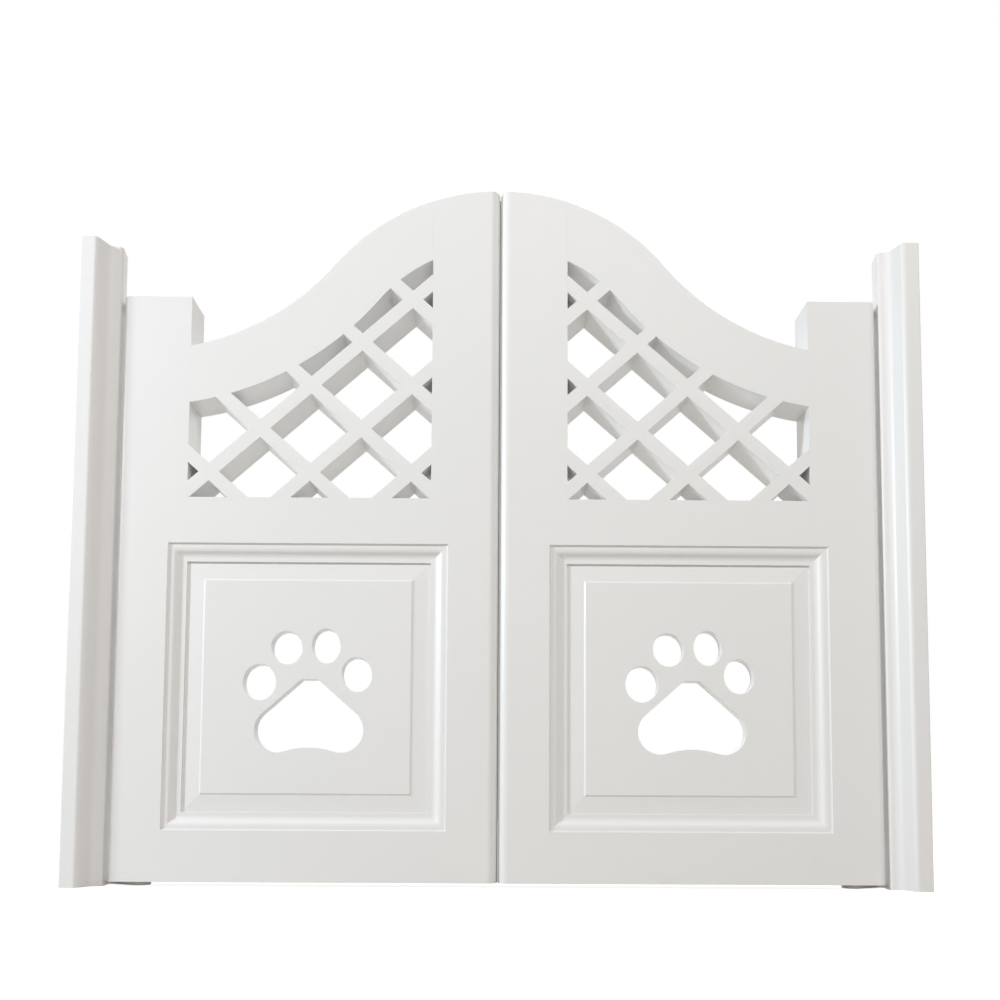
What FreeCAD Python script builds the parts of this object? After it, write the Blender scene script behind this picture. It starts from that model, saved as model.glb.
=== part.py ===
"""Cafe swinging doors: two sprung double-action leaves between moulded jambs.

Millimetres. +X runs along the width, +Z is up and the moulded jamb faces look towards -Y.
The origin is on the centre line, at the foot of the jambs, midway through the overall depth.
Every right-hand piece is modelled and the left-hand one is its mirror image; only the paw
cut-outs point the same way in both leaves.
"""
import FreeCAD, Part
import math
import os

Vector = FreeCAD.Vector
tolerance = 1e-6
least_flat = 0.01            # left between two roundings that meet

# ---- overall ---------------------------------------------------------------------------
overall_width = 903.0        # over the outer sides of the two jambs
jamb_height = 695.0
hinge_gap = 4.0              # front of the casing to the leaf
meeting_gap = 1.2            # between the two closed leaves
leaf_lift = 5.0              # foot of the jambs to the underside of the leaves

# ---- jambs -----------------------------------------------------------------------------
casing_width = 37.5
casing_depth = 39.0
casing_projection = 17.0     # front band ahead of the faces of the leaves
casing_band = 18.0           # width of the flat front band, to its sharp corner
band_radius = 5.0            # rounding of the band's inner corner
casing_arris = 1.5           # rounding of the casing's outer front edge
cove_radius = 8.0
cove_depth = 19.0            # front band to the bottom of the cove
shoulder_width = 2.0         # flat between the cove and the rounding
shoulder_radius = 4.0        # rounding of the casing's inner edge
casing_lean = 2.5            # its inner side leans away, so that the leaf's corner sweeps past
post_width = 22.0
post_depth = 24.0
post_arris = 1.5

# ---- leaf frame ------------------------------------------------------------------------
leaf_thickness = 40.0
meeting_stile_width = 72.9
hinge_stile_width = 74.5
horn_drop = 57.0             # top of the jamb to the top of the hinge stile
hinge_edge_radius = 6.5
meeting_edge_radius = 10.0
bottom_rail_width = 73.0
panel_opening_height = 269.0
mid_rail_width = 69.0

# ---- swept top -------------------------------------------------------------------------
crown_rise = 122.5           # top of the hinge stile to the top of the curve
crown_radius = 233.5         # convex sweep, centred on the doorway's centre line
hollow_radius = 272.0        # concave sweep that runs out to the hinge stile
shoulder_drop = 54.5         # top of the hinge stile to where the concave sweep meets it
top_rail_width = 62.0        # measured square to the curve

# ---- lattice ---------------------------------------------------------------------------
lattice_start_x = 21.5       # first crossing, from the meeting stile
lattice_end_x = 22.5         # last crossing, from the hinge stile
lattice_columns = 2.0        # pitches between these two
lattice_start_z = 28.0       # first crossing, from the mid rail
lattice_rows = 2.635         # pitches from there to the top of the window
strip_width = 14.5
rising_strips = 5            # climb towards the hinge side
rising_below = 2             # of these, how many start under the first crossing
falling_strips = 3

# ---- panel and its mouldings -----------------------------------------------------------
moulding_width = 19.0
moulding_depth = 10.0        # of the rebate that takes the moulding
moulding_step = 2.0          # from the face of the leaf down to the bead
step_slope = 1.2             # width of the sloping side of that step
bead_width = 3.0
lip_width = 4.0
lip_depth = 6.5              # face of the leaf to the lip beside the panel
panel_setback = 6.0          # front face of the leaf to the raised field
panel_thickness = 15.0
panel_gap = 1.5              # open joint between the panel and the frame
bevel_width = 17.0
bevel_rise = 1.3
field_step_width = 1.8
field_step_rise = 1.2
tongue_thickness = 8.0       # flush with the plain back of the panel
tongue_length = 8.0          # how far the panel reaches into its groove
tongue_play = 0.2            # each side of the tongue
groove_play = 1.0            # beyond the end of the tongue

# ---- paw cut-out -----------------------------------------------------------------------
paw_drop = 46.8              # centre of the panel down to the centres of the pad's lobes
paw_shift = 3.0              # middle of the paw to the right of the centre of the panel
lobe_radius = 24.0
lobe_spacing = 68.2
pad_rise = 54.6              # centres of the lobes up to the flat top of the pad
pad_top_width = 14.0         # flat top between its rounded corners
pad_corner_radius = 4.5
pad_arch_radius = 87.0
# each toe: place from the middle between the lobes (x, z), half width, half height, lean
toes = (
    (-53.6, 51.1, 17.8, 19.6, 0.0),
    (-25.0, 88.4, 16.7, 18.2, 12.0),
    (17.2, 90.4, 15.3, 18.9, 4.0),
    (50.4, 59.8, 16.2, 18.8, 10.0),
)

# ---- loose tenons ----------------------------------------------------------------------
tenon_thickness = 10.0
tenon_reach = 20.0           # into each of the two pieces it joins
tenon_margin = 14.0          # from the edges of the rail
head_tenon_width = 34.0
tenon_play = 0.1

# ---- pivots ----------------------------------------------------------------------------
pivot_inset = 30.0           # hinge edge of the leaf to the pivot axis
bracket_thickness = 3.0
bracket_eye_radius = 10.0
bracket_plate_height = 45.0
bracket_plate_width = 18.0
bracket_setback = 2.5        # plate to the back of the casing
bracket_floor_gap = 0.5
running_clearance = 0.1      # radial, between a pin and its bush
top_gap = 1.0                # top bracket to the top of the horn
top_pin_radius = 4.0
top_pin_reach = 20.0         # into the horn
bush_wall = 2.0
bush_flange_radius = 8.5
bush_flange_thickness = 1.5
spindle_journal_radius = 5.0
spindle_core_radius = 4.0
spindle_tip_radius = 3.0
washer_radius = 11.0
housing_radius = 11.0
housing_wall = 2.5
housing_height = 62.0
housing_end_thickness = 5.0
cap_flange_radius = 15.0
cap_flange_thickness = 2.5
cap_plug_height = 4.0
spring_wire = 2.2            # square wire
spring_clearance = 0.3
spring_turns = 7
spring_end_gap = 0.4

# ---- fixings ---------------------------------------------------------------------------
screw_radius = 2.0
screw_head_radius = 4.0
screw_head_depth = 2.2
bracket_screw_length = 18.0
bracket_screw_margin = 10.0
casing_screw_length = 42.0
casing_screw_count = 3
casing_screw_spacing = 230.0
slot_width = 1.0
slot_depth = 0.8
wall_hole_radius = 2.75
wall_head_radius = 5.0
wall_head_depth = 4.0

# ---- worked out ------------------------------------------------------------------------
casing_front_y = -(casing_depth + post_depth) / 2.0
casing_back_y = casing_front_y + casing_depth
post_back_y = casing_back_y + post_depth
leaf_front_y = casing_front_y + casing_projection
mid_y = leaf_front_y + leaf_thickness / 2.0
jamb_x = overall_width / 2.0
casing_inner_x = jamb_x - casing_width
post_inner_x = jamb_x - post_width
leaf_outer_x = casing_inner_x - hinge_gap
leaf_inner_x = meeting_gap / 2.0
opening_x0 = leaf_inner_x + meeting_stile_width
opening_x1 = leaf_outer_x - hinge_stile_width
leaf_z = leaf_lift
panel_z0 = leaf_z + bottom_rail_width
panel_z1 = panel_z0 + panel_opening_height
sill_z = panel_z1 + mid_rail_width
horn_z = jamb_height - horn_drop
shoulder_z = horn_z - shoulder_drop
crown_z = horn_z + crown_rise
lattice_pitch_x = (opening_x1 - opening_x0 - lattice_start_x - lattice_end_x) / lattice_columns
lattice_pitch_z = (crown_z - top_rail_width - sill_z - lattice_start_z) / lattice_rows
pivot_x = leaf_outer_x - pivot_inset
panel_centre_x = (opening_x0 + opening_x1) / 2.0
panel_centre_z = (panel_z0 + panel_z1) / 2.0
top_bracket_z = horn_z + top_gap
cavity_radius = housing_radius - housing_wall
field_y = leaf_front_y + panel_setback
panel_back_y = field_y + panel_thickness
tongue_y = panel_back_y - tongue_thickness


# ---- plane geometry, in (a, b) pairs ---------------------------------------------------
def circles_meet(centre_1, radius_1, centre_2, radius_2, side):
    """One of the two points where two circles cross; side is +1 or -1."""
    da = centre_2[0] - centre_1[0]
    db = centre_2[1] - centre_1[1]
    apart = math.hypot(da, db)
    along = (apart**2 + radius_1**2 - radius_2**2) / (2.0 * apart)
    across = side * math.sqrt(radius_1**2 - along**2)
    return (
        centre_1[0] + (da * along - db * across) / apart,
        centre_1[1] + (db * along + da * across) / apart,
    )


def tangent_point(point, centre, radius, side):
    """Where a line from a point touches a circle; side is +1 or -1."""
    apart = math.hypot(centre[0] - point[0], centre[1] - point[1])
    return circles_meet(point, math.sqrt(apart**2 - radius**2), centre, radius, side)


def towards(start, end, distance):
    """The point at a distance from start in the direction of end."""
    share = distance / math.hypot(end[0] - start[0], end[1] - start[1])
    return (start[0] + (end[0] - start[0]) * share, start[1] + (end[1] - start[1]) * share)


def on_circle(centre, radius, a, upper):
    """The point of a circle at a given first coordinate, on its upper or lower half."""
    rise = math.sqrt(radius**2 - (a - centre[0])**2)
    return (a, centre[1] + rise if upper else centre[1] - rise)


def arc_middle(centre, start, end):
    """Middle of the shorter arc between two points of a circle."""
    half = ((start[0] + end[0]) / 2.0, (start[1] + end[1]) / 2.0)
    return towards(centre, half, math.hypot(start[0] - centre[0], start[1] - centre[1]))


class Outline:
    """A closed outline of lines and arcs, drawn point by point in a plane of the model."""

    def __init__(self, start, place):
        self.place = place
        self.start = start
        self.last = start
        self.edges = []

    def line(self, end):
        self.edges.append(Part.makeLine(self.place(*self.last), self.place(*end)))
        self.last = end
        return self

    def arc(self, centre, end):
        middle = arc_middle(centre, self.last, end)
        curve = Part.Arc(self.place(*self.last), self.place(*middle), self.place(*end))
        self.edges.append(curve.toShape())
        self.last = end
        return self

    def face(self):
        if self.last != self.start:
            self.line(self.start)
        return Part.Face(Part.Wire(self.edges))


def upright(x, z):
    """A point of the plane of the leaf's front face."""
    return Vector(x, leaf_front_y, z)


def level(x, y):
    """A point of the horizontal plane through the origin."""
    return Vector(x, y, 0.0)


# ---- solid helpers ---------------------------------------------------------------------
def block(x0, x1, y0, y1, z0, z1):
    return Part.makeBox(x1 - x0, y1 - y0, z1 - z0, Vector(x0, y0, z0))


def rod(radius, x, y, z0, z1):
    """A vertical cylinder."""
    return Part.makeCylinder(radius, z1 - z0, Vector(x, y, z0))


def through_leaf(face):
    """A face in the leaf's front plane, carried through the leaf's thickness."""
    return face.extrude(Vector(0.0, leaf_thickness, 0.0))


def rounded_bar(x0, x1, y0, y1, z0, z1, radius_0, radius_1):
    """An upright bar whose corners at x0 and at x1 are rounded; a radius of 0 stays square."""
    limit = (y1 - y0) / 2.0 - least_flat
    bar = block(x0, x1, y0, y1, z0, z1)
    for x, radius in ((x0, radius_0), (x1, radius_1)):
        if radius > 0.0:
            corners = [
                edge for edge in bar.Edges
                if abs(edge.Length - (z1 - z0)) < tolerance
                and all(abs(v.X - x) < tolerance for v in edge.Vertexes)
            ]
            bar = bar.makeFillet(min(radius, limit), corners)
    return bar


def countersunk_screw(tip, axis, length):
    """A slotted countersunk screw; axis points from the head to the tip."""
    head = tip - axis * length
    shank = Part.makeCylinder(screw_radius, length, head, axis)
    cone = Part.makeCone(screw_head_radius, screw_radius, screw_head_depth, head, axis)
    slot = Part.makeBox(slot_width, 2.0 * screw_head_radius, 2.0 * slot_depth)
    slot.translate(Vector(-slot_width / 2.0, -screw_head_radius, -slot_depth))
    slot.Placement = FreeCAD.Placement(head, FreeCAD.Rotation(Vector(0, 0, 1), axis)) * slot.Placement
    return shank.fuse(cone).removeSplitter().cut(slot)


def screw_hole(tip, axis, length):
    """The hole that a countersunk screw fills."""
    head = tip - axis * length
    hole = Part.makeCylinder(screw_radius, length, head, axis)
    return hole.fuse(Part.makeCone(screw_head_radius, screw_radius, screw_head_depth, head, axis))


# ---- jambs -----------------------------------------------------------------------------
def casing_face():
    """Cross-section of the casing; u runs inwards from the outer side, v back from the front."""
    def place(u, v):
        return Vector(jamb_x - u, casing_front_y + v, 0.0)

    band_end = (casing_band, 0.0)
    back_corner = (casing_width - casing_lean, casing_depth)
    round_centre = (casing_width - shoulder_radius, cove_depth + shoulder_radius)
    cove_centre = (round_centre[0] - shoulder_width, cove_depth - cove_radius)
    slope_end = tangent_point(band_end, cove_centre, cove_radius, 1)
    side_start = tangent_point(back_corner, round_centre, shoulder_radius, 1)
    outline = Outline((0.0, casing_depth), place)
    outline.line((0.0, casing_arris))
    outline.arc((casing_arris, casing_arris), (casing_arris, 0.0))
    outline.line(band_end).line(slope_end)
    outline.arc(cove_centre, (cove_centre[0], cove_depth))
    outline.line((round_centre[0], cove_depth))
    outline.arc(round_centre, side_start).line(back_corner)
    return outline.face()


def spaced(centre, spacing, count):
    """Evenly spaced places on both sides of a centre."""
    first = centre - spacing * (count - 1) / 2.0
    return [first + spacing * index for index in range(count)]


def bracket_screw_tips(bracket_z0):
    """Tips of the two screws of a pivot bracket, in the jamb post."""
    y = casing_back_y + bracket_setback + bracket_plate_width / 2.0
    heights = (bracket_z0 + bracket_screw_margin, bracket_z0 + bracket_plate_height - bracket_screw_margin)
    return [Vector(post_inner_x + bracket_screw_length, y, z) for z in heights]


def all_bracket_screw_tips():
    bottom = bracket_screw_tips(bracket_floor_gap)
    return bottom + bracket_screw_tips(top_bracket_z + bracket_thickness - bracket_plate_height)


def casing_screw_tips():
    """Tips of the screws that hold the casing from behind the post."""
    x = jamb_x - post_width / 2.0
    y = post_back_y - casing_screw_length
    heights = spaced(jamb_height / 2.0, casing_screw_spacing, casing_screw_count)
    return [Vector(x, y, z) for z in heights]


def casing():
    body = casing_face().extrude(Vector(0.0, 0.0, jamb_height))
    band_corner = [
        edge for edge in body.Edges
        if all(abs(v.X - jamb_x + casing_band) < tolerance for v in edge.Vertexes)
        and all(abs(v.Y - casing_front_y) < tolerance for v in edge.Vertexes)
    ]
    body = body.makeFillet(band_radius, band_corner)
    for tip in casing_screw_tips():
        body = body.cut(screw_hole(tip, Vector(0, -1, 0), casing_screw_length))
    return body


def wall_hole_heights():
    """The wall screws pass between the casing's screws."""
    return spaced(jamb_height / 2.0, casing_screw_spacing, casing_screw_count - 1)


def bracket_seat(z0):
    """The shallow recess that lets a bracket's plate lie flush in the post."""
    y0 = casing_back_y + bracket_setback
    return block(
        post_inner_x, post_inner_x + bracket_thickness, y0, y0 + bracket_plate_width,
        z0, z0 + bracket_plate_height,
    )


def jamb_post():
    body = block(post_inner_x, jamb_x, casing_back_y, post_back_y, 0.0, jamb_height)
    back_edges = [
        edge for edge in body.Edges
        if all(abs(v.Y - post_back_y) < tolerance for v in edge.Vertexes)
        and abs(edge.Length - jamb_height) < tolerance
    ]
    body = body.makeFillet(post_arris, back_edges)
    body = body.cut(bracket_seat(bracket_floor_gap))
    body = body.cut(bracket_seat(top_bracket_z + bracket_thickness - bracket_plate_height))
    for tip in all_bracket_screw_tips():
        body = body.cut(screw_hole(tip, Vector(1, 0, 0), bracket_screw_length))
    for tip in casing_screw_tips():
        body = body.cut(screw_hole(tip, Vector(0, -1, 0), casing_screw_length))
    y = (casing_back_y + post_back_y) / 2.0
    for z in wall_hole_heights():
        start = Vector(post_inner_x, y, z)
        body = body.cut(Part.makeCylinder(wall_hole_radius, post_width, start, Vector(1, 0, 0)))
        body = body.cut(Part.makeCylinder(wall_head_radius, wall_head_depth, start, Vector(1, 0, 0)))
    return body


# ---- swept top of the leaf -------------------------------------------------------------
def sweep_centres():
    """Centres of the convex and of the concave sweep, which touch each other."""
    crown = (0.0, crown_z - crown_radius)
    shoulder = (opening_x1, shoulder_z)
    hollow = circles_meet(crown, crown_radius + hollow_radius, shoulder, hollow_radius, 1)
    return crown, hollow


def swept_face(x0, x1, z0, inset):
    """The part of the leaf above z0 between x0 and x1, under the top curve moved in by inset."""
    crown, hollow = sweep_centres()
    convex = crown_radius - inset
    concave = hollow_radius + inset
    turn = towards(crown, hollow, convex)
    outline = Outline((x0, z0), upright).line((x1, z0))
    if x1 > turn[0]:
        outline.line(on_circle(hollow, concave, x1, False)).arc(hollow, turn)
    else:
        outline.line(on_circle(crown, convex, x1, True))
    outline.arc(crown, on_circle(crown, convex, x0, True))
    return outline.face()


# ---- frame of the leaf -----------------------------------------------------------------
def moulding_rebates():
    """Rebates in both faces of the frame that take the panel mouldings."""
    x0 = opening_x0 - moulding_width
    x1 = opening_x1 + moulding_width
    z0 = panel_z0 - moulding_width
    z1 = panel_z1 + moulding_width
    front = block(x0, x1, leaf_front_y, leaf_front_y + moulding_depth, z0, z1)
    back_y = leaf_front_y + leaf_thickness
    back = block(x0, x1, back_y - moulding_depth, back_y, z0, z1)
    return front.fuse(back)


def panel_groove():
    reach = tongue_length + groove_play
    return block(
        opening_x0 - reach, opening_x1 + reach, tongue_y - tongue_play, panel_back_y + tongue_play,
        panel_z0 - reach, panel_z1 + reach,
    )


def tenon(joint_x, z0, z1, play):
    """A loose tenon across the joint between a stile and a rail."""
    reach = tenon_reach + play
    half = tenon_thickness / 2.0 + play
    return block(joint_x - reach, joint_x + reach, mid_y - half, mid_y + half, z0 - play, z1 + play)


def tenon_places():
    """Joint and height range of each loose tenon of a leaf."""
    crown, hollow = sweep_centres()
    places = []
    for joint_x in (opening_x0, opening_x1):
        places.append((joint_x, leaf_z + tenon_margin, panel_z0 - moulding_width - tenon_play))
        places.append((joint_x, panel_z1 + moulding_width, sill_z - tenon_margin))
    slack = top_rail_width - head_tenon_width
    inner_top = on_circle(crown, crown_radius, opening_x0 + tenon_reach, True)[1]
    places.append((opening_x0, inner_top - head_tenon_width - slack / 2.0, inner_top - slack / 2.0))
    outer_top = on_circle(hollow, hollow_radius, opening_x1, False)[1]
    places.append((opening_x1, outer_top - head_tenon_width - slack / 2.0, outer_top - slack / 2.0))
    return places


def mortises():
    cutters = [tenon(x, z0, z1, tenon_play) for x, z0, z1 in tenon_places()]
    return Part.makeCompound(cutters)


def loose_tenons():
    return Part.makeCompound([tenon(x, z0, z1, 0.0) for x, z0, z1 in tenon_places()])


def framed(body):
    """A frame member with its share of the rebates, the groove and the mortises."""
    return body.cut(moulding_rebates()).cut(panel_groove()).cut(mortises())


def hinge_stile():
    back_y = leaf_front_y + leaf_thickness
    body = rounded_bar(
        opening_x1, leaf_outer_x, leaf_front_y, back_y, leaf_z, horn_z, 0.0, hinge_edge_radius,
    )
    body = framed(body)
    bush_z = horn_z - top_pin_reach
    body = body.cut(rod(top_pin_radius + running_clearance + bush_wall, pivot_x, mid_y, bush_z, horn_z))
    body = body.cut(rod(bush_flange_radius, pivot_x, mid_y, horn_z - bush_flange_thickness, horn_z))
    body = body.cut(rod(housing_radius, pivot_x, mid_y, leaf_z, leaf_z + housing_height))
    return body.cut(rod(cap_flange_radius, pivot_x, mid_y, leaf_z, leaf_z + cap_flange_thickness))


def meeting_stile():
    back_y = leaf_front_y + leaf_thickness
    bar = rounded_bar(
        leaf_inner_x, opening_x0, leaf_front_y, back_y, leaf_z, crown_z,
        meeting_edge_radius, 0.0,
    )
    return framed(bar.common(through_leaf(swept_face(leaf_inner_x, opening_x0, leaf_z, 0.0))))


def rail(z0, z1):
    back_y = leaf_front_y + leaf_thickness
    return framed(block(opening_x0, opening_x1, leaf_front_y, back_y, z0, z1))


def strip_face(x, z, slope):
    """A long straight strip through (x, z) at the given slope, as a face in the leaf's plane."""
    reach = opening_x1 - opening_x0 + crown_z
    length = math.hypot(1.0, slope)
    along = (reach / length, reach * slope / length)
    across = (-slope * strip_width / 2.0 / length, strip_width / 2.0 / length)
    corners = [
        (x - along[0] - across[0], z - along[1] - across[1]),
        (x + along[0] - across[0], z + along[1] - across[1]),
        (x + along[0] + across[0], z + along[1] + across[1]),
        (x - along[0] + across[0], z - along[1] + across[1]),
    ]
    outline = Outline(corners[0], upright)
    for corner in corners[1:]:
        outline.line(corner)
    return outline.face()


def lattice_strips():
    """The crossing strips of the window, each longer than the window is."""
    x = opening_x0 + lattice_start_x
    first_z = sill_z + lattice_start_z
    slope = lattice_pitch_z / lattice_pitch_x
    rising = [
        strip_face(x, first_z + (index - rising_below) * lattice_pitch_z, slope)
        for index in range(rising_strips)
    ]
    falling = [
        strip_face(x, first_z + index * lattice_pitch_z, -slope)
        for index in range(falling_strips)
    ]
    return rising + falling


def lattice_head():
    """Curved top rail and the diagonal lattice under it, cut from one board."""
    window = swept_face(opening_x0, opening_x1, sill_z, top_rail_width)
    openings = window.cut(lattice_strips())
    board = swept_face(opening_x0, opening_x1, sill_z, 0.0)
    head = through_leaf(board)
    for opening in openings.Faces:
        head = head.cut(through_leaf(opening))
    return head.cut(mortises())


# ---- panel -----------------------------------------------------------------------------
def panel_rectangle(inset, y):
    """A level rectangle of the panel, an inset inside the opening on all four sides."""
    corners = [
        Vector(opening_x0 + inset, y, panel_z0 + inset),
        Vector(opening_x1 - inset, y, panel_z0 + inset),
        Vector(opening_x1 - inset, y, panel_z1 - inset),
        Vector(opening_x0 + inset, y, panel_z1 - inset),
    ]
    return Part.makePolygon(corners + [corners[0]])


def raised_body():
    """The panel between the stiles and rails: its edge, the bevel, the step and the field."""
    crest = panel_gap + bevel_width
    crest_y = field_y + field_step_rise
    levels = [
        (panel_gap, panel_back_y),
        (panel_gap, crest_y + bevel_rise),
        (crest, crest_y),
        (crest + field_step_width, field_y),
    ]
    parts = []
    for start, end in zip(levels, levels[1:]):
        parts.append(Part.makeLoft([panel_rectangle(*start), panel_rectangle(*end)], True, True))
    return parts


def pad_face(centre_x, centre_z):
    """The pad: a flat top, straight sides, two round lobes and a low arch between them."""
    def place(a, b):
        return Vector(centre_x + a, leaf_front_y, centre_z + b)

    half = lobe_spacing / 2.0
    lobe = (half, 0.0)
    corner = (pad_top_width / 2.0, pad_rise - pad_corner_radius)
    arch = (0.0, -math.sqrt((pad_arch_radius + lobe_radius)**2 - half**2))
    inner = tangent_point(corner, lobe, lobe_radius - pad_corner_radius, 1)
    out_x = (inner[0] - lobe[0]) / (lobe_radius - pad_corner_radius)
    out_z = (inner[1] - lobe[1]) / (lobe_radius - pad_corner_radius)
    hip = (lobe[0] + lobe_radius * out_x, lobe[1] + lobe_radius * out_z)
    neck = (corner[0] + pad_corner_radius * out_x, corner[1] + pad_corner_radius * out_z)
    foot = towards(lobe, arch, lobe_radius)
    far = (half + lobe_radius, 0.0)
    outline = Outline((-foot[0], foot[1]), place)
    outline.arc(arch, foot).arc(lobe, far).arc(lobe, hip).line(neck)
    outline.arc(corner, (corner[0], pad_rise)).line((-corner[0], pad_rise))
    outline.arc((-corner[0], corner[1]), (-neck[0], neck[1])).line((-hip[0], hip[1]))
    outline.arc((-half, 0.0), (-far[0], 0.0)).arc((-half, 0.0), (-foot[0], foot[1]))
    return outline.face()


def toe_face(centre_x, centre_z, half_width, half_height, lean):
    centre = Vector(centre_x, leaf_front_y, centre_z)
    turn = FreeCAD.Rotation(Vector(0, 1, 0), -lean)
    long_end = centre + turn.multVec(Vector(0.0, 0.0, half_height))
    short_end = centre + turn.multVec(Vector(half_width, 0.0, 0.0))
    return Part.Face(Part.Wire(Part.Ellipse(long_end, short_end, centre).toShape()))


def paw_cutter(side):
    """Everything that is cut out of a panel; side is +1 on the right and -1 on the left."""
    x = side * panel_centre_x + paw_shift
    z = panel_centre_z - paw_drop
    faces = [pad_face(x, z)]
    for toe_x, toe_z, half_width, half_height, lean in toes:
        faces.append(toe_face(x + toe_x, z + toe_z, half_width, half_height, lean))
    return Part.makeCompound([through_leaf(face) for face in faces])


def raised_panel():
    """The panel without its cut-out."""
    tongue = block(
        opening_x0 - tongue_length, opening_x1 + tongue_length, tongue_y, panel_back_y,
        panel_z0 - tongue_length, panel_z1 + tongue_length,
    )
    return tongue.fuse(raised_body()).removeSplitter()


def moulding_face():
    """Cross-section of the panel moulding; u runs from its outer edge to the panel."""
    def place(u, v):
        return Vector(u, v, 0.0)

    start = (step_slope + bead_width, moulding_step)
    end = (moulding_width - lip_width, lip_depth)
    middle = ((start[0] + end[0]) / 2.0, (start[1] + end[1]) / 2.0)
    turn = 2.0 * math.atan2(end[1] - start[1], end[0] - start[0])
    radius = (end[0] - start[0]) / 2.0 / math.sin(turn)
    outline = Outline((0.0, moulding_depth), place).line((0.0, 0.0))
    outline.line((step_slope, moulding_step)).line(start)
    outline.arc((start[0], start[1] + radius), middle).arc((end[0], end[1] - radius), end)
    outline.line((moulding_width, lip_depth)).line((moulding_width, moulding_depth))
    return outline.face()


def mitred_strip(length):
    """One side of the moulding, upright at the origin, mitred at both ends."""
    strip = moulding_face().extrude(Vector(0.0, 0.0, length))
    mitre = Part.Face(Part.makePolygon([
        Vector(0.0, 0.0, 0.0),
        Vector(moulding_width, 0.0, moulding_width),
        Vector(moulding_width, 0.0, length - moulding_width),
        Vector(0.0, 0.0, length),
        Vector(0.0, 0.0, 0.0),
    ]))
    return strip.common(mitre.extrude(Vector(0.0, moulding_depth, 0.0)))


def panel_moulding():
    """The four mitred strips round the panel, in the front face of the leaf."""
    x0 = opening_x0 - moulding_width
    x1 = opening_x1 + moulding_width
    z0 = panel_z0 - moulding_width
    z1 = panel_z1 + moulding_width
    sides = ((x0, z0, z1 - z0), (x0, z1, x1 - x0), (x1, z1, z1 - z0), (x1, z0, x1 - x0))
    strips = []
    for quarter, (x, z, length) in enumerate(sides):
        strip = mitred_strip(length)
        strip.rotate(Vector(0, 0, 0), Vector(0, 1, 0), 90.0 * quarter)
        strip.translate(Vector(x, leaf_front_y, z))
        strips.append(strip)
    return Part.makeCompound(strips)


# ---- pivots ----------------------------------------------------------------------------
def bracket_arm(z0):
    """The flat arm of a pivot bracket, from the post round the casing to the pivot's eye."""
    eye = (pivot_x, mid_y)
    front_y = casing_back_y + bracket_setback
    elbow = (casing_inner_x - bracket_setback, front_y)
    root_back = (post_inner_x, front_y + bracket_plate_width)
    outline = Outline((post_inner_x, front_y), level).line(root_back)
    outline.line(tangent_point(root_back, eye, bracket_eye_radius, -1))
    outline.arc(eye, (eye[0] - bracket_eye_radius, eye[1]))
    outline.arc(eye, tangent_point(elbow, eye, bracket_eye_radius, 1)).line(elbow)
    arm = outline.face().extrude(Vector(0.0, 0.0, bracket_thickness))
    arm.translate(Vector(0.0, 0.0, z0))
    return arm


def bracket(arm_z, plate_z, pin_radius):
    """A pivot bracket: an arm and a plate let into the post."""
    body = bracket_arm(arm_z).fuse(bracket_seat(plate_z)).removeSplitter()
    for tip in bracket_screw_tips(plate_z):
        body = body.cut(screw_hole(tip, Vector(1, 0, 0), bracket_screw_length))
    return body.cut(rod(pin_radius, pivot_x, mid_y, arm_z, arm_z + bracket_thickness))


def top_pivot_bracket():
    plate_z = top_bracket_z + bracket_thickness - bracket_plate_height
    return bracket(top_bracket_z, plate_z, top_pin_radius)


def bottom_pivot_bracket():
    return bracket(bracket_floor_gap, bracket_floor_gap, spindle_journal_radius)


def top_pivot_pin():
    z0 = horn_z - top_pin_reach + running_clearance
    return rod(top_pin_radius, pivot_x, mid_y, z0, top_bracket_z + bracket_thickness)


def top_pivot_bush():
    z0 = horn_z - top_pin_reach
    bore = top_pin_radius + running_clearance
    sleeve = rod(bore + bush_wall, pivot_x, mid_y, z0, horn_z)
    flange = rod(bush_flange_radius, pivot_x, mid_y, horn_z - bush_flange_thickness, horn_z)
    return sleeve.fuse(flange).removeSplitter().cut(rod(bore, pivot_x, mid_y, z0, horn_z))


def pivot_spindle():
    """The fixed spindle on the bottom bracket: lower journal, spring core and upper tip."""
    core_z = leaf_z + cap_flange_thickness + cap_plug_height
    tip_z = leaf_z + housing_height - housing_end_thickness
    journal = rod(spindle_journal_radius, pivot_x, mid_y, bracket_floor_gap, core_z)
    core = rod(spindle_core_radius, pivot_x, mid_y, core_z, tip_z - running_clearance)
    tip = rod(spindle_tip_radius, pivot_x, mid_y, core_z, leaf_z + housing_height - running_clearance)
    return journal.fuse([core, tip]).removeSplitter()


def thrust_washer():
    z0 = bracket_floor_gap + bracket_thickness
    bore = spindle_journal_radius + running_clearance
    return rod(washer_radius, pivot_x, mid_y, z0, leaf_z).cut(rod(bore, pivot_x, mid_y, z0, leaf_z))


def spring_housing():
    z0 = leaf_z + cap_flange_thickness
    z1 = leaf_z + housing_height
    body = rod(housing_radius, pivot_x, mid_y, z0, z1)
    body = body.cut(rod(cavity_radius, pivot_x, mid_y, z0, z1 - housing_end_thickness))
    return body.cut(rod(spindle_tip_radius + running_clearance, pivot_x, mid_y, z0, z1))


def housing_cap():
    """The flanged cap that closes the housing and carries the leaf on the thrust washer."""
    z1 = leaf_z + cap_flange_thickness
    flange = rod(cap_flange_radius, pivot_x, mid_y, leaf_z, z1)
    plug = rod(cavity_radius, pivot_x, mid_y, z1, z1 + cap_plug_height)
    bore = rod(spindle_journal_radius + running_clearance, pivot_x, mid_y, leaf_z, z1 + cap_plug_height)
    return flange.fuse(plug).removeSplitter().cut(bore)


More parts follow.
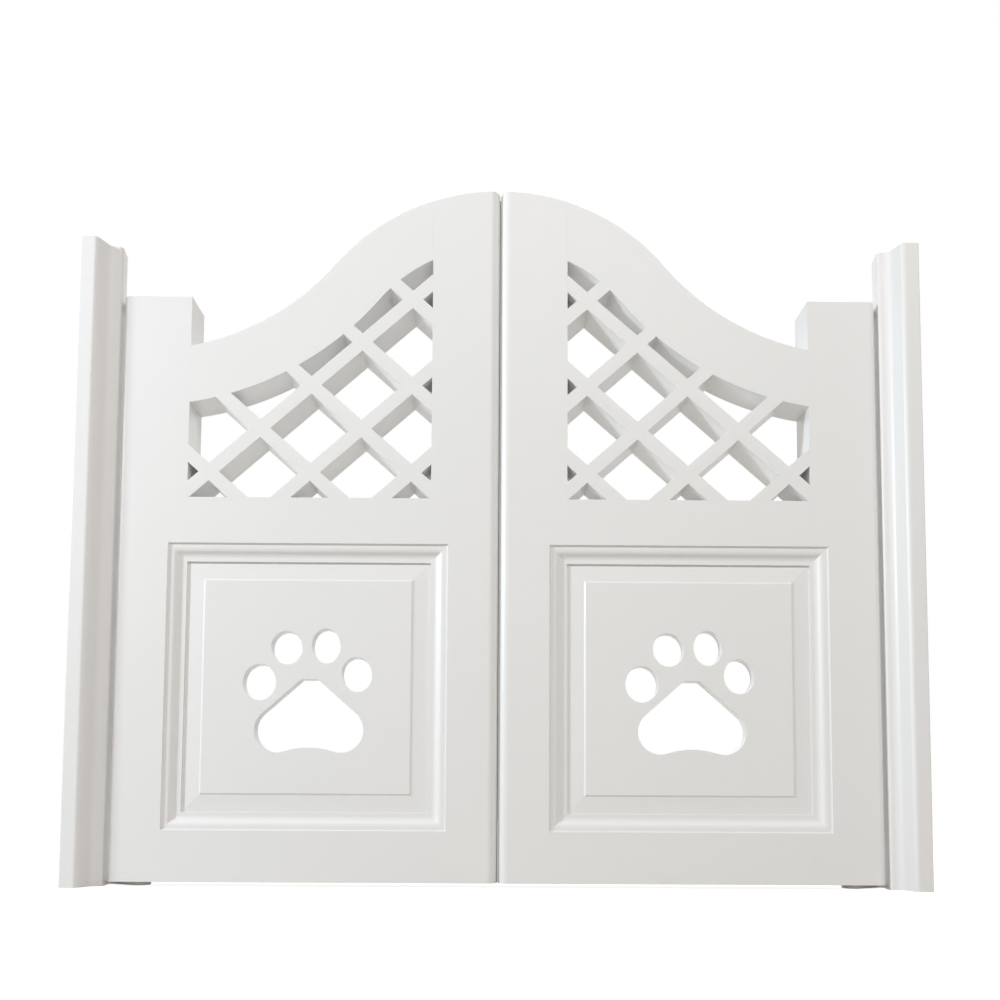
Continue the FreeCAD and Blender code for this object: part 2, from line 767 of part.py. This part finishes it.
def torsion_spring():
    """The square-wire spring that brings the leaf back to the closed position."""
    half = spring_wire / 2.0
    radius = cavity_radius - spring_clearance - half
    z0 = leaf_z + cap_flange_thickness + cap_plug_height + half + spring_end_gap
    z1 = leaf_z + housing_height - housing_end_thickness - half - spring_end_gap
    helix = Part.makeHelix((z1 - z0) / spring_turns, z1 - z0, radius)
    corners = [(-half, -half), (half, -half), (half, half), (-half, half), (-half, -half)]
    section = Part.makePolygon([Vector(radius + a, 0.0, b) for a, b in corners])
    coil = Part.Wire(helix).makePipeShell([section], True, True)
    coil.translate(Vector(pivot_x, mid_y, z0))
    return coil


def pivot_screws():
    return Part.makeCompound([
        countersunk_screw(tip, Vector(1, 0, 0), bracket_screw_length)
        for tip in all_bracket_screw_tips()
    ])


def casing_screws():
    return Part.makeCompound([
        countersunk_screw(tip, Vector(0, -1, 0), casing_screw_length)
        for tip in casing_screw_tips()
    ])


# ---- assembly --------------------------------------------------------------------------
def across_leaf(shape):
    """The same piece on the other face of the leaf."""
    return shape.mirror(Vector(0.0, mid_y, 0.0), Vector(0, 1, 0))


def right_hand_pieces():
    front_moulding = panel_moulding()
    return {
        "casing": casing(),
        "jamb_post": jamb_post(),
        "casing_screws": casing_screws(),
        "top_pivot_bracket": top_pivot_bracket(),
        "top_pivot_pin": top_pivot_pin(),
        "top_pivot_bush": top_pivot_bush(),
        "bottom_pivot_bracket": bottom_pivot_bracket(),
        "pivot_spindle": pivot_spindle(),
        "thrust_washer": thrust_washer(),
        "spring_housing": spring_housing(),
        "housing_cap": housing_cap(),
        "torsion_spring": torsion_spring(),
        "pivot_screws": pivot_screws(),
        "hinge_stile": hinge_stile(),
        "meeting_stile": meeting_stile(),
        "bottom_rail": rail(leaf_z, panel_z0),
        "mid_rail": rail(panel_z1, sill_z),
        "lattice_head": lattice_head(),
        "loose_tenons": loose_tenons(),
        "raised_panel": raised_panel(),
        "front_moulding": front_moulding,
        "back_moulding": across_leaf(front_moulding),
    }


def main():
    os.makedirs("parts", exist_ok=True)
    for name, shape in right_hand_pieces().items():
        mirrored = shape.mirror(Vector(0, 0, 0), Vector(1, 0, 0))
        for side_name, side, piece in (("right", 1, shape), ("left", -1, mirrored)):
            if name == "raised_panel":
                piece = piece.cut(paw_cutter(side))
            piece.exportStep(f"parts/{side_name}_{name}.step")


main()
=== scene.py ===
"""Look of the cafe swinging doors: materials, joints, light, floor and camera around the CAD frame.

Lengths are in metres and colours are linear RGB. X runs to the right, Y away from the camera and Z up.
"""

import math

import bpy
from mathutils import Matrix, Vector


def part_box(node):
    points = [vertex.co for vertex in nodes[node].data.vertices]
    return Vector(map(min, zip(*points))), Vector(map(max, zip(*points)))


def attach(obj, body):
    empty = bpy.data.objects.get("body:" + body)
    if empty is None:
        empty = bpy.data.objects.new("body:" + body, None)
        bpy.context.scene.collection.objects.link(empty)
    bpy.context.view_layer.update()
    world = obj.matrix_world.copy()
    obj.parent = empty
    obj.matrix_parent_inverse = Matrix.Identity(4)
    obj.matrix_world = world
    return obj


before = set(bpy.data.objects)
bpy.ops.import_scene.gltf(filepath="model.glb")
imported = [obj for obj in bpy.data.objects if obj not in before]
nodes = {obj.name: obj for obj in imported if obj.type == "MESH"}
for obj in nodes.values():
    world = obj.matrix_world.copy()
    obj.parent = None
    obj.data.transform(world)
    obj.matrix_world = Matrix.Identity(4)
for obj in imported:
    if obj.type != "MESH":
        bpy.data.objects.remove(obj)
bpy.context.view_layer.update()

# ---- the solids, by what they are made of ------------------------------------------------
SIDES = ("left", "right")
UPRIGHT_WOOD = ("casing", "jamb_post", "hinge_stile", "meeting_stile")
LEVEL_WOOD = ("bottom_rail", "mid_rail", "lattice_head")
BOARD = ("raised_panel",)
MOULDINGS = ("front_moulding", "back_moulding")
TENONS = ("loose_tenons",)
BRACKETS = ("top_pivot_bracket", "bottom_pivot_bracket")
STEEL = (
    "top_pivot_pin", "pivot_spindle", "spring_housing", "housing_cap", "torsion_spring",
    "casing_screws", "pivot_screws",
)
NYLON = ("top_pivot_bush", "thrust_washer")

# ---- colours: each surface drifts between two tones ----------------------------------------
LACQUER_TONES = ((0.835, 0.838, 0.835), (0.850, 0.850, 0.843))
COATING_TONES = ((0.80, 0.80, 0.79), (0.83, 0.83, 0.82))
STEEL_TONES = ((0.60, 0.61, 0.62), (0.70, 0.70, 0.69))
NYLON_TONES = ((0.74, 0.73, 0.68), (0.79, 0.78, 0.74))
BEECH_TONES = ((0.58, 0.40, 0.25), (0.72, 0.55, 0.38))
FELT_TONES = ((0.54, 0.54, 0.53), (0.62, 0.62, 0.61))
FLOOR_TONES = ((0.50, 0.47, 0.43), (0.52, 0.49, 0.45))
WHITE = (1.0, 1.0, 1.0)

# ---- roughness: a range where it varies over the surface -----------------------------------
LACQUER_ROUGHNESS = (0.34, 0.42)
COATING_ROUGHNESS = (0.40, 0.52)
STEEL_ROUGHNESS = (0.26, 0.42)
NYLON_ROUGHNESS = (0.38, 0.50)
BEECH_ROUGHNESS = 0.6
FELT_ROUGHNESS = 0.95

# ---- grain: stretch of the noise per axis, small along the wood's length -------------------
GRAIN_UP = (1.0, 1.0, 0.06)
GRAIN_ACROSS = (0.06, 1.0, 1.0)
TENON_GRAIN = (1.0, 12.0, 12.0)

EASED_EDGE = 0.0004          # radius that lacquer and powder coat give to a sharp edge
EDGE_SAMPLES = 6

# ---- lacquer in the joint round each panel -------------------------------------------------
JOINT_DEPTH = 0.0026         # from the front of the panel back to the lacquer
JOINT_BODY = 0.0015          # thickness of the lacquer, front to back
JOINT_WIDTH = 0.0016         # a little more than the open joint, so that it keys into both sides

# ---- felt on the left leaf's meeting edge --------------------------------------------------
FELT_THICKNESS = 0.0009      # nearly fills the gap between the closed leaves
FELT_WIDTH = 0.012
FELT_SUNK = 0.0004           # bedded in the edge of the stile
FELT_END = 0.0015            # from the top of the stile down to the felt

# ---- studio --------------------------------------------------------------------------------
FLOOR_HALF = 30.0
FLOOR_ROUGHNESS = 0.9
FLOOR_SPECULAR = 0.1
FLOOR_GLOW = 0.86            # what the floor adds of its own to the rays that show it
AMBIENT_COLOUR = (1.0, 0.88, 0.78)
AMBIENT_LEVEL = 0.325
DAYLIGHT = (0.82, 0.92, 1.0)
PALE_DAYLIGHT = (0.92, 0.97, 1.0)

# ---- camera --------------------------------------------------------------------------------
CAMERA_X = -0.00225          # from the plane where the leaves meet
CAMERA_DISTANCE = 0.9563     # in front of the left hinge stile's face
CAMERA_HEIGHT = 0.09242      # over the left hinge stile's foot
CAMERA_ANGLES = (3.57, 0.27, 0.31)       # pitch, yaw and roll in degrees
SENSOR_WIDTH = 36.0          # millimetres, as the lens
LENS = 32.58
SHIFT_UP = 0.2389
NEAR_CLIP = 0.01


def add_object(name, data):
    """An object of the scene with this data."""
    thing = bpy.data.objects.new(name, data)
    bpy.context.scene.collection.objects.link(thing)
    return thing


def new_mesh(name, vertices, faces):
    mesh = bpy.data.meshes.new(name)
    mesh.from_pydata(vertices, [], faces)
    return mesh


# ---- node helpers --------------------------------------------------------------------------
class Tree:
    """A material's node tree with its Principled shader."""

    NOISE_RANGE = (0.3, 0.7)             # nearly all of a noise texture's values lie in it
    MIX_INPUTS = (6, 7)                  # a Mix node's two colour sockets
    MIX_OUTPUT = 2                       # and its colour result

    def __init__(self, name):
        self.material = bpy.data.materials.new(name)
        self.material.use_nodes = True
        self.nodes = self.material.node_tree.nodes
        self.links = self.material.node_tree.links
        self.shader = self.nodes["Principled BSDF"]
        coordinates = self.nodes.new("ShaderNodeTexCoord")
        self.position = coordinates.outputs["Object"]

    def link(self, source, target):
        self.links.new(source, target)

    def drive(self, socket_name, source):
        """Link a value to one of the shader's sockets."""
        self.link(source, self.shader.inputs[socket_name])

    def set_shader(self, **values):
        for name, value in values.items():
            self.shader.inputs[name.replace("_", " ")].default_value = value

    def scaled(self, scale):
        """Object coordinates stretched by a scale per axis."""
        node = self.nodes.new("ShaderNodeMapping")
        node.inputs["Scale"].default_value = scale
        self.link(self.position, node.inputs["Vector"])
        return node.outputs["Vector"]

    def noise(self, scale, detail=3.0, roughness=0.5, stretch=None):
        """Noise with a number of cells per metre."""
        node = self.nodes.new("ShaderNodeTexNoise")
        node.inputs["Scale"].default_value = scale
        node.inputs["Detail"].default_value = detail
        node.inputs["Roughness"].default_value = roughness
        source = self.position if stretch is None else self.scaled(stretch)
        self.link(source, node.inputs["Vector"])
        return node.outputs["Fac"]

    def between(self, noise, low, high):
        """A noise value carried to low..high."""
        node = self.nodes.new("ShaderNodeMapRange")
        node.inputs["From Min"].default_value = self.NOISE_RANGE[0]
        node.inputs["From Max"].default_value = self.NOISE_RANGE[1]
        node.inputs["To Min"].default_value = low
        node.inputs["To Max"].default_value = high
        self.link(noise, node.inputs["Value"])
        return node.outputs["Result"]

    def tone(self, noise, tones):
        """Base colour that drifts between two tones."""
        node = self.nodes.new("ShaderNodeMix")
        node.data_type = "RGBA"
        for socket, tone in zip(self.MIX_INPUTS, tones):
            node.inputs[socket].default_value = (*tone, 1.0)
        self.link(self.between(noise, 0.0, 1.0), node.inputs["Factor"])
        self.drive("Base Color", node.outputs[self.MIX_OUTPUT])

    def satin(self, noise, roughness_range):
        """Roughness that varies over the surface."""
        self.drive("Roughness", self.between(noise, *roughness_range))

    def eased_edges(self):
        """Shading normal with the sharp edges eased."""
        node = self.nodes.new("ShaderNodeBevel")
        node.samples = EDGE_SAMPLES
        node.inputs["Radius"].default_value = EASED_EDGE
        return node.outputs["Normal"]

    def bump(self, height, distance, strength, normal=None):
        node = self.nodes.new("ShaderNodeBump")
        node.inputs["Distance"].default_value = distance
        node.inputs["Strength"].default_value = strength
        self.link(height, node.inputs["Height"])
        if normal is not None:
            self.link(normal, node.inputs["Normal"])
        return node.outputs["Normal"]


# ---- materials -----------------------------------------------------------------------------
def lacquer(name, grain):
    """Sprayed satin white lacquer over wood; grain is the stretch of the wood's figure, or None."""
    tree = Tree(name)
    tree.tone(tree.noise(scale=3.0, detail=2.0), LACQUER_TONES)
    tree.satin(tree.noise(scale=26.0), LACQUER_ROUGHNESS)
    normal = tree.eased_edges()
    if grain is not None:
        figure = tree.noise(scale=60.0, detail=4.0, stretch=grain)
        normal = tree.bump(figure, distance=0.0004, strength=0.05, normal=normal)
    spray = tree.noise(scale=420.0, detail=2.0)
    normal = tree.bump(spray, distance=0.0003, strength=0.05, normal=normal)
    tree.drive("Normal", normal)
    tree.set_shader(Coat_Weight=0.18, Coat_Roughness=0.32)
    return tree.material


def powder_coat():
    """White powder coat with a fine orange peel."""
    tree = Tree("white_powder_coat")
    tree.tone(tree.noise(scale=40.0), COATING_TONES)
    tree.satin(tree.noise(scale=900.0), COATING_ROUGHNESS)
    peel = tree.noise(scale=1400.0, detail=1.0)
    tree.drive("Normal", tree.bump(peel, distance=0.0002, strength=0.15, normal=tree.eased_edges()))
    return tree.material


def zinc_steel():
    """Zinc-plated steel with fine level marks."""
    tree = Tree("zinc_plated_steel")
    tree.tone(tree.noise(scale=55.0, detail=5.0), STEEL_TONES)
    tree.satin(tree.noise(scale=500.0, stretch=(1.0, 1.0, 12.0)), STEEL_ROUGHNESS)
    marks = tree.noise(scale=700.0, stretch=(1.0, 1.0, 14.0))
    tree.drive("Normal", tree.bump(marks, distance=0.0001, strength=0.2))
    tree.set_shader(Metallic=1.0)
    return tree.material


def nylon():
    """Natural nylon, off-white and satin."""
    tree = Tree("natural_nylon")
    tree.tone(tree.noise(scale=120.0), NYLON_TONES)
    tree.satin(tree.noise(scale=600.0), NYLON_ROUGHNESS)
    return tree.material


def beech():
    """Bare beech of the loose tenons."""
    tree = Tree("bare_beech")
    figure = tree.noise(scale=30.0, detail=6.0, roughness=0.65, stretch=TENON_GRAIN)
    tree.tone(figure, BEECH_TONES)
    tree.drive("Normal", tree.bump(figure, distance=0.0003, strength=0.3))
    tree.set_shader(Roughness=BEECH_ROUGHNESS)
    return tree.material


def felt():
    """Light grey felt."""
    tree = Tree("grey_felt")
    tree.tone(tree.noise(scale=900.0, detail=4.0), FELT_TONES)
    tree.set_shader(Roughness=FELT_ROUGHNESS)
    return tree.material


def dress(names, material):
    """Give one material to these pieces of both sides."""
    for side in SIDES:
        for name in names:
            piece = nodes[f"{side}_{name}"]
            piece.data.materials.clear()
            piece.data.materials.append(material)


# ---- lacquer in the joints -----------------------------------------------------------------
def ring_mesh(name, outer, inner, front, back):
    """A closed rectangular frame; outer and inner are (x0, x1, z0, z1), front and back are y."""
    vertices = []
    for x0, x1, z0, z1 in (outer, inner):
        for y in (front, back):
            vertices += [(x0, y, z0), (x1, y, z0), (x1, y, z1), (x0, y, z1)]
    corners = 4
    outer_front, outer_back, inner_front, inner_back = (
        range(loop * corners, (loop + 1) * corners) for loop in range(len(vertices) // corners)
    )
    faces = []
    for this in range(corners):
        after = (this + 1) % corners
        faces += [
            (outer_front[this], outer_front[after], inner_front[after], inner_front[this]),
            (outer_back[after], outer_back[this], inner_back[this], inner_back[after]),
            (outer_front[after], outer_front[this], outer_back[this], outer_back[after]),
            (inner_front[this], inner_front[after], inner_back[after], inner_back[this]),
        ]
    return new_mesh(name, vertices, faces)


def fill_panel_joint(side, material):
    """Sprayed lacquer that bridges the open joint between the panel and its front moulding."""
    rail_low, rail_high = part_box(f"{side}_bottom_rail")
    middle_low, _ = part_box(f"{side}_mid_rail")
    panel_low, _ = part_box(f"{side}_raised_panel")
    outer = (rail_low.x, rail_high.x, rail_high.z, middle_low.z)
    inner = (
        outer[0] + JOINT_WIDTH, outer[1] - JOINT_WIDTH,
        outer[2] + JOINT_WIDTH, outer[3] - JOINT_WIDTH,
    )
    front = panel_low.y + JOINT_DEPTH
    name = f"{side}_joint_lacquer"
    piece = add_object(name, ring_mesh(name, outer, inner, front, front + JOINT_BODY))
    piece.data.materials.append(material)
    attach(piece, f"{side}_leaf")


# ---- felt between the leaves ---------------------------------------------------------------
def bar_mesh(name, low, high):
    """A closed block between two corners."""
    vertices = [
        (x, y, z) for z in (low[2], high[2]) for x, y in
        ((low[0], low[1]), (high[0], low[1]), (high[0], high[1]), (low[0], high[1]))
    ]
    faces = [(3, 2, 1, 0), (4, 5, 6, 7), (0, 1, 5, 4), (1, 2, 6, 5), (2, 3, 7, 6), (3, 0, 4, 7)]
    return new_mesh(name, vertices, faces)


def line_meeting_edge():
    """A strip of felt down the flat middle of the left leaf's meeting edge."""
    low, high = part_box("left_meeting_stile")
    middle = (low.y + high.y) / 2.0
    name = "left_meeting_felt"
    mesh = bar_mesh(
        name,
        (high.x - FELT_SUNK, middle - FELT_WIDTH / 2.0, low.z),
        (high.x + FELT_THICKNESS, middle + FELT_WIDTH / 2.0, high.z - FELT_END),
    )
    strip = add_object(name, mesh)
    strip.data.materials.append(felt())
    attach(strip, "left_leaf")


# ---- floor and background ------------------------------------------------------------------
def shown_as_white(tree_nodes, links):
    """1 for rays that show the background: straight to the camera, mirrored or let through."""
    path = tree_nodes.new("ShaderNodeLightPath")
    total = path.outputs["Is Camera Ray"]
    for name in ("Is Glossy Ray", "Is Transmission Ray"):
        node = tree_nodes.new("ShaderNodeMath")
        node.operation = "MAXIMUM"
        links.new(total, node.inputs[0])
        links.new(path.outputs[name], node.inputs[1])
        total = node.outputs[0]
    return total


def make_floor():
    """A plain floor that reads as white; the doors' shadow on it is very faint."""
    corners = [(x * FLOOR_HALF, y * FLOOR_HALF, 0.0) for x, y in ((-1, -1), (1, -1), (1, 1), (-1, 1))]
    floor = add_object("floor", new_mesh("floor", corners, [(0, 1, 2, 3)]))
    tree = Tree("pale_floor")
    tree.tone(tree.noise(scale=2.0), FLOOR_TONES)
    tree.set_shader(
        Roughness=FLOOR_ROUGHNESS, Specular_IOR_Level=FLOOR_SPECULAR, Emission_Color=(*WHITE, 1.0),
    )
    glow = tree.nodes.new("ShaderNodeMath")
    glow.operation = "MULTIPLY"
    glow.inputs[1].default_value = FLOOR_GLOW
    tree.link(shown_as_white(tree.nodes, tree.links), glow.inputs[0])
    tree.drive("Emission Strength", glow.outputs[0])
    floor.data.materials.append(tree.material)


def make_world():
    """White where it is seen, and a warm, weak ambient light on the object."""
    world = bpy.data.worlds.new("studio")
    bpy.context.scene.world = world
    world.use_nodes = True
    tree_nodes = world.node_tree.nodes
    links = world.node_tree.links
    ambient = tree_nodes["Background"]
    ambient.inputs["Color"].default_value = (*AMBIENT_COLOUR, 1.0)
    ambient.inputs["Strength"].default_value = AMBIENT_LEVEL
    white = tree_nodes.new("ShaderNodeBackground")
    white.inputs["Color"].default_value = (*WHITE, 1.0)
    white.inputs["Strength"].default_value = 1.0
    mix = tree_nodes.new("ShaderNodeMixShader")
    links.new(shown_as_white(tree_nodes, links), mix.inputs[0])
    links.new(ambient.outputs[0], mix.inputs[1])
    links.new(white.outputs[0], mix.inputs[2])
    links.new(mix.outputs[0], tree_nodes["World Output"].inputs["Surface"])


def softbox(name, place, target, size, power, colour, mirrored):
    """A square area lamp, size metres wide and power watts strong, turned to a target."""
    light = bpy.data.lights.new(name, "AREA")
    light.shape = "SQUARE"
    light.size = size
    light.energy = power
    light.color = colour
    lamp = add_object(name, light)
    lamp.location = place
    lamp.rotation_euler = (Vector(target) - Vector(place)).to_track_quat("-Z", "Y").to_euler()
    lamp.visible_glossy = mirrored


def make_lamps():
    """A key from the left, a fill from the front and one from behind."""
    softbox(
        "key", place=(-2.14, -0.93, 1.12), target=(-0.1, 0.0, 0.40),
        size=0.32, power=36.0, colour=DAYLIGHT, mirrored=True,
    )
    softbox(
        "front", place=(0.50, -1.95, 2.00), target=(0.1, 0.0, 0.45),
        size=0.9, power=28.5, colour=WHITE, mirrored=False,
    )
    softbox(
        "back", place=(0.0, 2.3, 1.5), target=(0.0, 0.0, 0.35),
        size=1.2, power=31.0, colour=PALE_DAYLIGHT, mirrored=False,
    )


# ---- the photograph's view -----------------------------------------------------------------
def make_camera():
    """Near the centre line and low, looking slightly up, with the frame shifted up."""
    stile_low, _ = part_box("left_hinge_stile")
    place = Vector((CAMERA_X, stile_low.y - CAMERA_DISTANCE, stile_low.z + CAMERA_HEIGHT))
    pitch, yaw, roll = (math.radians(angle) for angle in CAMERA_ANGLES)
    ahead = Vector((math.sin(yaw) * math.cos(pitch), math.cos(yaw) * math.cos(pitch), math.sin(pitch)))
    level_right = Vector((math.cos(yaw), -math.sin(yaw), 0.0))
    level_up = level_right.cross(ahead)
    right = math.cos(roll) * level_right + math.sin(roll) * level_up
    up = math.cos(roll) * level_up - math.sin(roll) * level_right
    data = bpy.data.cameras.new("camera")
    data.sensor_width = SENSOR_WIDTH
    data.lens = LENS
    data.shift_y = SHIFT_UP
    data.clip_start = NEAR_CLIP
    camera = add_object("camera", data)
    turn = Matrix((right, up, -ahead)).transposed().to_4x4()
    camera.matrix_world = Matrix.Translation(place) @ turn
    bpy.context.scene.camera = camera


# ---- the scene -----------------------------------------------------------------------------
dress(UPRIGHT_WOOD, lacquer("white_lacquer_upright", GRAIN_UP))
dress(LEVEL_WOOD, lacquer("white_lacquer_level", GRAIN_ACROSS))
dress(BOARD, lacquer("white_lacquer_board", None))
dress(MOULDINGS, lacquer("white_lacquer_moulding", None))
dress(BRACKETS, powder_coat())
dress(STEEL, zinc_steel())
dress(NYLON, nylon())
dress(TENONS, beech())

joint_lacquer = lacquer("white_lacquer_joint", None)
for side in SIDES:
    fill_panel_joint(side, joint_lacquer)
line_meeting_edge()

make_floor()
make_world()
make_lamps()
make_camera()
bpy.context.scene.view_settings.view_transform = "Standard"
